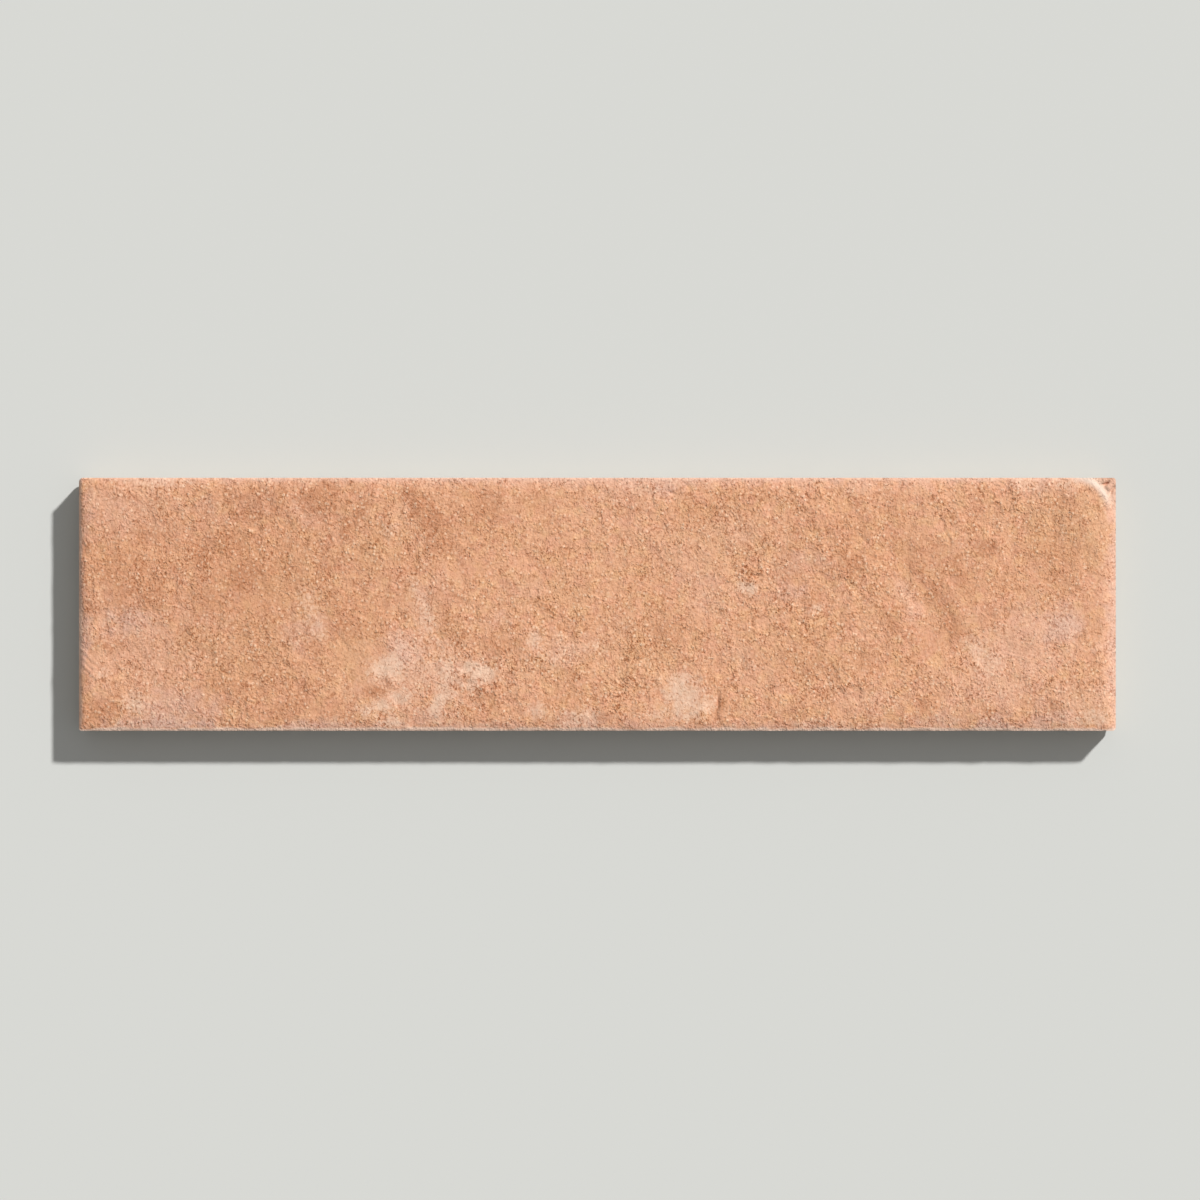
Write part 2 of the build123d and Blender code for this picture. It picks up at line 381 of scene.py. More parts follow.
def ring_of(lines_x, lines_y):
    """Boundary of a grid, once round against the clock from its lowest corner: x, y, and a place
    from 0 to 4 that counts the sides."""
    span_x, span_y = (np.interp(lines, (lines[0], lines[-1]), (0, 1)) for lines in (lines_x, lines_y))
    first_x, last_x = (np.full(len(lines_y) - 1, end) for end in (lines_x[0], lines_x[-1]))
    first_y, last_y = (np.full(len(lines_x) - 1, end) for end in (lines_y[0], lines_y[-1]))
    x = np.concatenate([lines_x[:-1], last_x, lines_x[:0:-1], first_x])
    y = np.concatenate([first_y, lines_y[:-1], last_y, lines_y[:0:-1]])
    place = np.concatenate([span_x[:-1], 1 + span_y[:-1], 2 + span_x[:-1], 3 + span_y[:-1]])
    return x, y, place


def ring_numbers(count_x, count_y, first):
    """Vertex numbers of a grid's boundary, in the order of ring_of."""
    numbers = first + np.arange(count_x * count_y).reshape(count_x, count_y)
    return np.concatenate([numbers[:-1, 0], numbers[-1, :-1], numbers[:0:-1, -1], numbers[0, :0:-1]])


def stitch(upper, upper_place, lower, lower_place):
    """Triangles between two rings of different counts: going round, the ring whose next point
    comes first moves on, and each move makes a triangle with the point the other stands at."""
    upper, lower = np.append(upper, upper[0]), np.append(lower, lower[0])
    ends = np.concatenate([np.append(upper_place[1:], 4), np.append(lower_place[1:], 4)])
    moves_upper = np.argsort(ends, kind="stable") < len(upper) - 1
    at_upper = np.cumsum(moves_upper) - moves_upper
    at_lower = np.cumsum(~moves_upper) - ~moves_upper
    next_upper = upper[np.minimum(at_upper + 1, len(upper) - 1)]
    next_lower = lower[np.minimum(at_lower + 1, len(lower) - 1)]
    third = np.where(moves_upper, next_upper, next_lower)
    return np.stack([lower[at_lower], third, upper[at_upper]], 1)


def band(first_ring, second_ring):
    """Four-sided faces between two rings of the same count, the second below the first."""
    return np.stack([second_ring, np.roll(second_ring, -1), np.roll(first_ring, -1), first_ring], 1)


# The face: a grid that is closest in bands along the arrises and round the worn corner. Points
# that lie within the snap of the two edges of the worn slope are moved onto them.
face_pitch = 0.46
arris_pitch = 0.22
face_bands = {"left": 4.4, "right": 7.0, "near": 1.8, "far": 4.4}
snap = 0.2
face_x = graded(half_length, face_pitch, arris_pitch, face_bands["left"], face_bands["right"])
face_y = graded(half_width, face_pitch, arris_pitch, face_bands["near"], face_bands["far"])
grid_x, grid_y = np.meshgrid(face_x, face_y, indexing="ij")
plan_x, plan_y = round_corners(grid_x, grid_y)
outside = wear_distance(plan_x, plan_y)
reach = outside + wear_radius
for edge in (0.0, wear_run):
    close = (np.abs(outside - edge) < snap) & (plan_x > wear_centre[0]) & (plan_y > wear_centre[1])
    pull = np.where(close, (wear_radius + edge) / np.maximum(reach, 1), 1)
    plan_x = np.where(close, wear_centre[0] + (plan_x - wear_centre[0]) * pull, plan_x)
    plan_y = np.where(close, wear_centre[1] + (plan_y - wear_centre[1]) * pull, plan_y)
plan_x = np.clip(plan_x, -half_length, half_length)
plan_y = np.clip(plan_y, -half_width, half_width)
face_points = np.stack([plan_x, plan_y, face_height(plan_x, plan_y)], -1).reshape(-1, 3)
numbers = np.arange(grid_x.size).reshape(grid_x.shape)
face_quads = np.stack([numbers[:-1, :-1], numbers[1:, :-1], numbers[1:, 1:], numbers[:-1, 1:]], -1)
face_ring = ring_numbers(len(face_x), len(face_y), 0)
face_place = ring_of(face_x, face_y)[2]

# The sides: rings down the upright land and in under the bevel, each a coarser walk round the
# tile. They lie a little inside the die's size, by an unevenness that has a size along the sides
# and changes faster up them.
bevel_run = 1.2
bevel_rise = 2.0
side_heights = [6.9, 6.3, 5.7, 4.7, 3.7, 2.8, 2.2, 1.9, 1.1, 0.25, 0.0]
side_pitch = 0.95
corner_pitch = 0.35
corner_band = 1.4
land_inset = 0.04
unevenness = 0.03
uneven_size = 5.0
uneven_climb = 3
side_x = graded(half_length, side_pitch, corner_pitch, corner_band, corner_band)
side_y = graded(half_width, side_pitch, corner_pitch, corner_band, corner_band)
side_ring_x, side_ring_y, side_place = ring_of(side_x, side_y)
rounded_x, rounded_y = round_corners(side_ring_x, side_ring_y)
walk_ends = np.cumsum([0, 2 * half_length, 2 * half_width, 2 * half_length, 2 * half_width])
walk = np.interp(side_place, range(len(walk_ends)), walk_ends)
side_points = []
for height in side_heights:
    inset = bevel_run * max(0.0, 1 - height / bevel_rise) + land_inset
    climb = np.full_like(walk, height * uneven_climb)
    inset += unevenness * (1 + cloud(walk, climb, uneven_size, 51))
    x = rounded_x * (1 - inset / half_length)
    y = rounded_y * (1 - inset / half_width)
    side_points.append(np.stack([x, y, np.full_like(x, height)], -1))
side_first = len(face_points)
side_count = len(side_place)
side_rings = side_first + np.arange(len(side_heights) * side_count).reshape(-1, side_count)
side_quads = np.concatenate([band(a, b) for a, b in zip(side_rings, side_rings[1:])])
side_top = stitch(face_ring, face_place, side_rings[0], side_place)

# The back: drafted cells between ribs, on a grid that has lines at each cell's walls and corners
back_margin = 3.0
back_edge_inset = 0.4
rib_width = 2.0
cell_counts = (14, 3)
cell_depth = 0.8
cell_corner = 1.5
cell_wall_run = 0.37
cell_corner_line = 0.8


def cell_lines(half, count):
    """Places of the lines from side to side: the edge of the back, then for each cell its mouth,
    the foot of its wall, and the two lines that its round corners need."""
    inner = half - bevel_run - back_margin
    pitch = (2 * inner + rib_width) / count
    reach = (pitch - rib_width) / 2
    steps = reach - np.array([0, cell_wall_run, cell_corner_line, cell_corner])
    steps = np.concatenate([-steps, steps[::-1]])
    centres = (np.arange(count) - (count - 1) / 2) * pitch
    cells = (centres[:, None] + steps).ravel()
    edge = half - bevel_run - back_edge_inset
    return np.concatenate([[-edge], cells, [edge]]), centres, reach


def cell_surface(x, y, centres_x, reach_x, centres_y, reach_y):
    """Bends the grid round each cell's corners as round_corners does, and lifts its floor: the
    height is the cell's depth times how far in from the mouth a point is, up to the wall's run."""
    middle_x = centres_x[np.abs(x[..., None] - centres_x).argmin(-1)]
    middle_y = centres_y[np.abs(y[..., None] - centres_y).argmin(-1)]
    away_x, away_y = np.abs(x - middle_x), np.abs(y - middle_y)
    inward = np.minimum(reach_x - away_x, reach_y - away_y)
    dx, dy = away_x - (reach_x - cell_corner), away_y - (reach_y - cell_corner)
    inside = (dx > 0) & (dy > 0) & (inward > -hair)
    pull = pull_round(dx, dy)
    new_x = np.where(inside, reach_x - cell_corner + dx * pull, away_x)
    new_y = np.where(inside, reach_y - cell_corner + dy * pull, away_y)
    x = middle_x + np.sign(x - middle_x) * new_x
    y = middle_y + np.sign(y - middle_y) * new_y
    return np.stack([x, y, cell_depth * np.clip(inward / cell_wall_run, 0, 1)], -1)


back_x, centres_x, reach_x = cell_lines(half_length, cell_counts[0])
back_y, centres_y, reach_y = cell_lines(half_width, cell_counts[1])
grid_x, grid_y = np.meshgrid(back_x, back_y, indexing="ij")
back_points = cell_surface(grid_x, grid_y, centres_x, reach_x, centres_y, reach_y).reshape(-1, 3)
back_first = side_first + side_rings.size
numbers = back_first + np.arange(grid_x.size).reshape(grid_x.shape)
back_quads = np.stack([numbers[:-1, :-1], numbers[:-1, 1:], numbers[1:, 1:], numbers[1:, :-1]], -1)
back_ring = ring_numbers(len(back_x), len(back_y), back_first)
back_place = ring_of(back_x, back_y)[2]
back_edge = stitch(side_rings[-1], side_place, back_ring, back_place)

# The whole body: one closed mesh, smooth but for the foot of the bevel and the walls of the cells
sharp_angle = math.radians(42)
points = np.concatenate([face_points, *side_points, back_points])
quads = np.concatenate([face_quads.reshape(-1, 4), side_quads, back_quads.reshape(-1, 4)])
triangles = np.concatenate([side_top, back_edge])
loops = np.concatenate([quads.ravel(), triangles.ravel()])
sizes = np.concatenate([np.full(len(quads), 4), np.full(len(triangles), 3)])
mesh = bpy.data.meshes.new("fired_tile")
mesh.vertices.add(len(points))
mesh.vertices.foreach_set("co", (points * mm).ravel())
mesh.loops.add(len(loops))
mesh.loops.foreach_set("vertex_index", loops)
mesh.polygons.add(len(sizes))
mesh.polygons.foreach_set("loop_start", np.concatenate([[0], np.cumsum(sizes)[:-1]]))
mesh.polygons.foreach_set("use_smooth", np.ones(len(sizes), bool))
mesh.update(calc_edges=True)
mesh.validate()
mesh.set_sharp_from_angle(angle=sharp_angle)
tile = bpy.data.objects.new("fired_tile", mesh)
bpy.context.scene.collection.objects.link(tile)
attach(tile, "root")
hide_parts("tile")

# Stains of the firing, each a soft oval: place, half long side, half short side, turn, strength.
# Bloom is white salt, mauve is clay that cooled in smoke, ember burnt redder and straw paler,
# flame was licked by the fire and rose had less of it. A few ovals are painted light and shade
# instead: some ember ovals paint the shade in the hollow of the long valley near x = 80, a rose and
# a flame oval paint a highlight on its flank that faces the sun, and the long mauve strip down the
# left arris is in part the painted cool tint of the shade on that side.
stains = {
    "rose": [
        (-106.3, -10.9, 14.3, 9.5, 0, 0.5), (-111, 22.4, 13.8, 5.9, 0, 0.5), (100.5, -8.5, 9, 8.1, 0, 0.5),
        (64.9, -23, 8.1, 2.4, 0, 0.3), (-31.4, -15.2, 9.5, 5.2, 0, 0.4), (5.5, 25.9, 6.2, 4, 0, 0.45),
        (-39.7, 1, 8.1, 4, 80, 0.4), (64.9, -5.9, 8.1, 4.3, -40, 0.15), (22.1, 10.5, 10, 5, -30, 0.35),
        (93.9, -19.9, 14, 5, 0, 0.4), (-62.1, 16.9, 4, 3.1, 0, 0.2), (-70.6, 22.8, 3.3, 2.1, -40, 0.7),
        (-93.2, 23.6, 3.6, 2.4, 0, 0.4), (-46.4, -10.2, 3.1, 2.8, 0, 0.9), (-6, -10.9, 6.2, 3.3, 10, 0.6),
        (-19.5, 24, 4.8, 2.1, 0, 0.15), (-44.9, 24.7, 3.8, 1.4, 70, 0.5), (114.8, -24, 8.1, 3.8, 0, 0.5),
        (107.7, 27.1, 7.1, 1.9, 0, 0.5), (63, 27.6, 5.7, 1.7, 0, 0.4), (12.6, 27.1, 7.1, 1.9, 0, 0.25),
        (110.8, -5.7, 5.2, 3.3, 0, 0.9), (24.5, 1, 5.9, 2.9, -30, 0.3), (0, 29.5, 130, 1.5, 0, 0.6),
        (121.9, -4, 28, 3.1, 90, 0.35), (-44.9, -18, 10.9, 7.1, 0, 0.5), (35.2, -13.3, 4.8, 2.1, -35, 0.5),
        (-99.1, -24, 8.1, 2.9, 0, 0.4), (-15.9, 3.4, 4.8, 3.3, 0, 0.3), (34, 17.4, 7.1, 3.8, 0, 0.45),
        # The first oval here, at (73.4, 1), is a painted highlight on the sun-facing flank of the long
        # valley
        (73.4, 1, 6.2, 1.7, -62, 0.6), (-24.3, -4.3, 2.4, 2.1, 0, 0.4),
    ],
    "flame": [
        (-13.6, 14, 8.6, 4.3, 0, 0.95), (-13.6, 2.2, 5.7, 3.8, 0, 0.4), (-26.2, 10.5, 6.7, 3.8, 0, 0.4),
        (-12.1, -22.6, 4.3, 3.3, 0, 1.0), (-20.7, -24, 4.3, 2.1, 0, 0.4), (3.6, -20.4, 4.3, 3.3, 90, 0.65),
        (35.2, -23.3, 5.7, 4.3, 0, 0.75), (40.6, -19.9, 5.2, 3.1, 90, 0.85), (39.5, -15, 3.3, 2.6, 0, 0.75),
        (51.1, -22.8, 4.8, 1.9, 0, 0.55), (87.7, 18.6, 4.3, 2.4, 0, 0.6), (81.5, 20, 10, 4.3, 0, 0.3),
        (116.9, -10.9, 6.7, 3.1, 90, 0.45), (-35, 13.1, 3.8, 2.9, 0, 0.4), (-95.1, 13.1, 9, 5.9, 0, 0.3),
        # The third oval here, at (74.9, 0.5), is a painted highlight on the sun-facing flank of the long
        # valley
        (72, 16.9, 8.1, 3.8, 80, 0.3), (62.5, -4.3, 5.7, 2.9, -50, 0.5), (74.9, 0.5, 5.7, 1.9, -65, 0.7),
        (-6.9, -25.2, 4.3, 1.4, 0, 0.5), (15, 15.2, 3.3, 2.4, 0, 0.4), (68.4, 20, 6.7, 3.8, 0, 0.5),
        (-120.1, 22.4, 4.3, 1.9, 90, 0.4), (13.8, -25.6, 3.3, 1.7, 0, 0.4),
    ],
    "straw": [
        (-74.2, 4.5, 8.1, 8.1, 0, 0.5), (-82.5, -13, 10, 8.1, 0, 0.4), (-51.6, 14, 5.9, 5.2, 0, 0.6),
        (-58.7, -12.1, 6.2, 4.8, 90, 0.5), (111.9, 17.6, 8.6, 8.1, 0, 0.5), (10.2, -10.9, 8.1, 8.1, 0, 0.4),
        (-103.2, 23.3, 2.4, 1.9, 0, 0.4), (-8.8, 1.9, 7.1, 3.8, 0, 0.3), (-7.4, -16.1, 7.1, 2.9, 0, 0.3),
        (48.2, -12.1, 13.3, 5.9, 0, 0.25), (29.7, 15.2, 11.9, 7.1, 0, 0.3), (4.3, 10, 8.1, 5.9, 0, 0.12),
        (-96.8, -8.5, 3.8, 2.6, 0, 0.5), (-33.8, -6.6, 3.8, 2.1, -30, 0.5),
        (117.6, -24.2, 4.8, 3.3, 0, 0.3),
    ],
    "ember_and_painted_shade": [
        (-94.4, 10.5, 2.4, 2.1, -30, 1.0), (-94.0, 10.3, 1.4, 1.2, -30, 0.5),
        (-82.5, 6.4, 3.8, 2.9, 0, 0.75), (-86.1, 13.8, 3.3, 1.9, 0, 0.55), (-80.8, 23.6, 5.2, 3.1, 0, 0.7),
        (-65.6, 25.5, 4.5, 3.8, 0, 0.65), (-58.2, 19.5, 5.2, 1.7, 55, 0.75),
        (-42.1, 22.8, 5.7, 2.1, -53, 0.85), (-27.8, 21.9, 6.7, 3.6, 0, 0.45),
        (-15.9, 24.9, 4.5, 2.6, 0, 0.3), (-37.3, 14, 3.3, 2.4, 0, 0.7), (-111.5, 3.4, 9, 4.8, 0, 0.55),
        (-106.3, 16.4, 3.3, 2.1, 0, 0.45), (-122, 5.7, 8.1, 1.2, 90, 0.8),
        (121.6, 28.2, 2.4, 1.9, -45, 1.0), (-117, -25.6, 4.8, 3.3, 0, 0.6),
        (-87.2, -18.5, 4.8, 3.8, 0, 0.35), (-70.6, -23.3, 7.6, 2.9, 0, 0.4),
        (-53.5, -20.9, 1.9, 1.2, 10, 0.8), (-25, -20.9, 6.2, 3.1, -10, 0.3), (-37.8, 1.9, 4, 1.4, -60, 0.4),
        (-33.8, -7.3, 3.1, 1.9, -30, 0.6), (-22.4, -10, 5.2, 3.1, -20, 0.5), (-96.8, -9, 3.1, 2.4, 0, 0.2),
        (-115.5, -10.7, 2.1, 1.7, 0, 0.6), (-113.9, -20.4, 1.9, 1.7, 0, 0.5),
        (-99.6, 7.6, 2.4, 1.9, 0, 0.45), (-92.7, 1, 3.3, 2.1, 60, 0.6), (-58.7, -5, 2.4, 1.7, 0, 0.4),
        # The third oval here, at (81.3, 1.4), is painted shade in the hollow of the long valley
        (60.1, 10.2, 2.6, 2.4, 0, 0.85), (76.8, 11.2, 7.1, 4, 0, 0.25), (81.3, 1.4, 6.7, 2.4, -65, 0.5),
        (69.2, -3.8, 2.9, 1.9, -50, 0.5), (45.4, 9.3, 8.6, 2.1, 85, 0.5), (36.8, 6.9, 2.9, 2.1, 0, 0.25),
        (51.8, 1, 2.1, 1.7, 0, 0.55), (85.1, 7.4, 4.8, 2.1, -40, 0.5), (92.2, 13.8, 2.4, 1.9, 0, 0.95),
        # The second oval here, at (83.9, -5.7), is painted shade at the low end of the long valley
        (92.2, -2.8, 2.1, 1.7, 0, 0.45), (83.9, -5.7, 3.3, 1.9, -65, 0.5), (110.5, 24.3, 2.9, 2.4, 0, 0.55),
        (110, 10.5, 8.1, 4.3, 90, 0.35), (6.6, 23.1, 3.8, 2.6, 0, 0.3), (25.9, 23.3, 4.8, 2.6, 0, 0.4),
        (16.2, -7.6, 6.2, 4.3, 0, 0.45), (51.1, -16.1, 5.2, 2.9, -30, 0.4), (39.5, -15, 3.3, 2.6, 0, 0.25),
        (-118.5, -1.0, 3.3, 2.6, 0, 0.2), (77, -23.7, 2.1, 1.4, 90, 0.7),
        (92.9, -25.9, 2.4, 1.9, -30, 0.75), (108.1, -24.5, 2.1, 1.7, 90, 0.6),
        (1.5, -27.0, 2.6, 1.7, 0, 1.0), (29.2, -24.5, 3.8, 1.2, 90, 0.7), (-86.1, 4.1, 41.8, 34, 0, 0.34),
        (63, -13.3, 3.3, 1.9, -40, 0.4), (102.9, -22.8, 2.9, 1.9, 0, 0.3), (-6.4, -18, 2.9, 1.9, 0, 0.4),
        (-52.5, -20.7, 2.1, 1, 0, 0.7), (-33.3, -19.7, 0.8, 0.8, 0, 0.8), (-40.9, -11.6, 1.4, 1.2, 0, 0.35),
        (-34.2, -9, 1.4, 1, 0, 0.35),
    ],
    "mauve": [
        (-111, -4.7, 4.8, 2.9, 0, 0.7), (-121.7, -9, 3.8, 1.7, 90, 0.6), (-121, 24.3, 3.8, 1.4, 90, 0.35),
        (-102.7, -28.3, 9.5, 1.7, 0, 0.85), (-63.5, -28.5, 8.1, 1.4, 0, 0.6), (-6, -27.1, 8.1, 1.7, 0, 0.4),
        (16.9, 27.8, 5.2, 1.9, 0, 0.5), (110, -4.3, 4, 3.1, 45, 0.5), (93.9, -28, 3.1, 1.9, 0, 0.7),
        (51.8, -28.5, 6.2, 1.2, 0, 0.25), (82.5, -27.8, 5.2, 1.7, 0, 0.5), (107.7, -27.3, 4.8, 1.9, 0, 0.5),
        # The first oval here, at (-122.9, 0), a strip down the left arris that faces away from the sun, is
        # in part the painted cool tint of the shade there
        (-122.9, 0, 32.1, 1.4, 90, 0.45), (122.6, -2, 30, 1.5, 90, 0.65), (0, 29.9, 130, 0.6, 0, 0.5),
        (0, -29.7, 130, 1.3, 0, 0.45), (-99.1, -24.2, 7.6, 2.9, 0, 0.5), (-39.7, -26.6, 4.3, 1.9, 0, 0.5),
        (-80.6, 23.6, 4.3, 2.4, 0, 0.15), (-70.1, -6.6, 5.2, 3.1, 0, 0.4), (45.9, 3.4, 2.9, 2.1, 0, 0.5),
        (48.2, 10.5, 4.8, 3.3, 0, 0.3), (-46.4, -10.2, 2.8, 2.6, 0, 0.4), (-118.9, -1.4, 3.8, 2.9, 0, 0.12),
    ],
    "bloom": [
        (-49.9, -15.2, 4.3, 2.4, 5, 0.95), (-46.4, -22.1, 2.4, 2.1, 0, 0.8),
        (-46.4, -10.2, 2.6, 2.4, 0, 0.35), (-52.0, -24.3, 4.0, 1.8, 10, 0.9),
        (-35.7, -16.4, 4, 1.6, 76, 0.75), (-37.8, -24.5, 3.3, 1.9, 70, 0.85),
        (-37.2, -22.8, 4.4, 1.5, 51, 0.65), (-29, -15.9, 3.8, 1.9, -12, 0.97),
        (-26.2, -16.4, 1.9, 1.6, 0, 0.8), (-29.7, -19.2, 2.1, 1.4, 0, 0.7),
        (-48.6, -27.8, 4.0, 1.4, 0, 0.85), (-43.3, -15.2, 10, 5.7, 0, 0.35),
        (-33.8, -23.3, 7.1, 4.3, 0, 0.25), (20.4, -20.4, 4.3, 4.0, -30, 0.95),
        (19.7, -21.1, 2.1, 2.6, 0, 0.6), (16.9, -25.4, 7.1, 2.3, 0, 0.6), (22.6, -25.9, 3.8, 2.1, 0, 0.6),
        (22.8, -22.8, 4.4, 3.6, 0, 0.75), (-42.8, 2.9, 3.8, 1.4, -65, 0.65),
        (-40.7, -3.3, 4.4, 2.1, -70, 0.62), (-68, -1.2, 4.8, 2.1, -65, 0.6),
        (-65.6, -6.0, 2.9, 1.5, -60, 0.4), (-14.7, -8.3, 2.7, 2.0, 75, 0.75),
        (-1.2, -9.8, 2.0, 1.7, 0, 0.5), (5.5, -6.1, 4.2, 2.4, 20, 0.3), (-11.9, -12.6, 2.9, 1.4, 0, 0.4),
        (-49.5, 17.6, 2.1, 1.9, 0, 0.5), (-14.5, -25.2, 3.0, 1.9, 0, 0.75),
        (-3.3, -26.8, 4.6, 2.1, 0, 0.75), (-117.2, -16.6, 1.9, 1.4, 0, 0.5),
        (-110.3, -23.7, 2.8, 2.3, 0, 0.75), (-96.8, -13.8, 1.9, 1.4, 0, 0.4),
        (35.4, 4.1, 1.9, 1.3, -20, 0.95), (35.4, 4.0, 2.6, 1.9, -20, 0.45), (51.6, -0.9, 2.1, 1, 10, 0.65),
        (55.1, -18.8, 1.2, 0.7, -50, 0.6), (90.3, -11.1, 3.8, 3.6, 0, 0.5),
        (92.9, -14.7, 3.3, 2.9, 0, 0.35), (111, -4.7, 3.1, 2.4, 0, 0.45), (122.1, 27.1, 1.2, 0.2, 62, 1.0),
        (101, 28.5, 3.8, 1.2, 0, 0.65), (111.2, 28.4, 3.3, 1.2, 0, 0.7), (117.2, -26.8, 5.7, 2.1, 10, 0.75),
        (-103.9, 28.8, 9, 1.4, 0, 0.6), (-103.9, -28.2, 8.6, 1.6, 0, 0.35), (13.8, 26.6, 4.8, 1.9, 0, 0.3),
        (-70.6, 23.1, 2.4, 1.4, -40, 0.3), (-37.3, -10.9, 3.8, 1.7, 60, 0.3),
    ],
}

# Rim of a stain: where it starts and how broad it is, as shares of the stain's half sizes, and how
# ragged it is over a millimetre, and over three for a stain and for a bloom
rim_start = 0.1
rim_breadth = 1.7
fine_rag = 0.40
stain_rag = 0.48
bloom_rag = 0.2
first_stain_seed = 60


def stain_mask(x, y, ovals, seed, rag):
    """Share from 0 to 1 that a kind of stain covers: 1 - product(1 - strength * m), where m falls
    smoothly from 1 to 0 across each oval's rim. A cloud times the rag and a finer one move the
    rim in and out."""
    ragged = rag * cloud(x, y, 3.1, seed) + fine_rag * cloud(x, y, 1.2, seed + 1)
    clear = np.ones_like(x)
    for place_x, place_y, half_long, half_short, turn, strength in ovals:
        across, along = across_and_along(x, y, (place_x, place_y), turn)
        out = np.hypot(along / half_long, across / half_short) + ragged
        m = np.clip((rim_start + rim_breadth - out) / rim_breadth, 0, 1)
        clear *= 1 - strength * m * m * (3 - 2 * m)
    return 1 - clear


def add_values(name, values):
    """Writes one number per vertex into the mesh as a named attribute."""
    layer = mesh.attributes.new(name, "FLOAT", "POINT")
    layer.data.foreach_set("value", np.ascontiguousarray(values, dtype=np.float32))


x, y = points[:, :2].T
face_part = np.arange(len(points)) < side_first
for number, (name, ovals) in enumerate(stains.items()):
    rag = bloom_rag if name == "bloom" else stain_rag
    mask = stain_mask(x, y, ovals, first_stain_seed + 2 * number, rag)
    add_values(name, mask * face_part)
add_values("sandiness", sandiness(x, y))

# Where the face's colour is rubbed thin and the biscuit shows: how far in from each side, and how
# bare it is, with an edge that wanders. The ledge of the worn corner is a little bare too.
rubbed_edges = {"left": (0.9, 0.5), "right": (1.0, 0.12), "near": (0.8, 1.0), "far": (0.9, 0.15)}
rub_wander = 0.5
rub_sharpness = 2.2
ledge_start = 0.8 * wear_run
ledge_edge = 0.3
ledge_bareness = 0.3
bare = np.zeros(len(points))
wander = 1 + rub_wander * cloud(x, y, 3.0, 71)
for side, (reach, strength) in rubbed_edges.items():
    rubbed = np.clip(rub_sharpness * (1 - side_distances(x, y)[side] / (reach * wander)), 0, 1)
    bare = np.maximum(bare, strength * rubbed * face_part)
past_arc = wear_distance(x, y)
on_ledge = np.clip((past_arc - ledge_start) / ledge_edge, 0, 1)
bare = np.maximum(bare, ledge_bareness * on_ledge * face_part)
add_values("bare_biscuit", bare)

# The slope of the worn corner shows fresh clay, in a band along the arc that fades out at its
# ends: the middle and half width of the band, outside the arc, and those of its turn from +Y
fresh_middle = 0.35 * wear_run
fresh_half_wide = 0.75 * wear_run
fresh_turn = math.radians(40)
fresh_half_turn = math.radians(40)
fresh = np.exp(-(((past_arc - fresh_middle) / fresh_half_wide) ** 2))
turn_away = np.arctan2(x - wear_centre[0], y - wear_centre[1]) - fresh_turn
fresh *= np.exp(-((turn_away / fresh_half_turn) ** 4))
add_values("fresh_wear", fresh * face_part)


def shade(red, green, blue):
    """A colour as it shows, in parts of 255, turned into the linear values that a shader takes."""
    return tuple(((part / 255 + 0.055) / 1.055) ** 2.4 for part in (red, green, blue)) + (1.0,)


def put(tree, kind, inputs=(), **settings):
    """Adds a shader node. The settings are its own properties, and inputs gives for a socket's
    name or number either a value or the socket that feeds it."""
    made = tree.nodes.new("ShaderNode" + kind)
    for name, value in settings.items():
        setattr(made, name, value)
    for key, value in dict(inputs).items():
        if isinstance(value, bpy.types.NodeSocket):
            tree.links.new(value, made.inputs[key])
        else:
            made.inputs[key].default_value = value
    return made


def new_group(name, inputs, outputs):
    """Starts a shader node group with named sockets, and gives it with the sockets inside it where
    its inputs come in and its outputs go out."""
    group = bpy.data.node_groups.new(name, "ShaderNodeTree")
    for socket, (kind, value) in inputs.items():
        made = group.interface.new_socket(socket, in_out="INPUT", socket_type="NodeSocket" + kind)
        if value is not None:
            made.default_value = value
    for socket in outputs:
        group.interface.new_socket(socket, in_out="OUTPUT", socket_type="NodeSocketFloat")
    return group, group.nodes.new("NodeGroupInput").outputs, group.nodes.new("NodeGroupOutput").inputs


def blend(tree, share, first, second):
    """Mixes two colours by a share, and gives the result. The node has its colour sockets after
    those for numbers and vectors."""
    return put(tree, "Mix", {0: share, 6: first, 7: second}, data_type="RGBA").outputs[2]


def ramp(tree, value, low, high):
    """Turns a value into a share that goes smoothly from 0 at low to 1 at high."""
    inputs = {"Value": value, "From Min": low, "From Max": high}
    return put(tree, "MapRange", inputs, interpolation_type="SMOOTHSTEP").outputs["Result"]


def maths(tree, operation, first, second=0.0):
    """One step of arithmetic on two values."""
    return put(tree, "Math", {0: first, 1: second}, operation=operation).outputs["Value"]


def times(tree, first, second):
    """The product of two values."""
    return maths(tree, "MULTIPLY", first, second)


def plus(tree, first, second):
    """The sum of two values."""
    return maths(tree, "ADD", first, second)


def noise(tree, place, scale, detail, roughness, distortion=0.0):
    """Smooth noise at a place, with detail octaves that each have the roughness's share of the
    one before, as its outputs."""
    inputs = {"Vector": place, "Scale": scale, "Detail": detail, "Roughness": roughness}
    return put(tree, "TexNoise", inputs | {"Distortion": distortion}).outputs


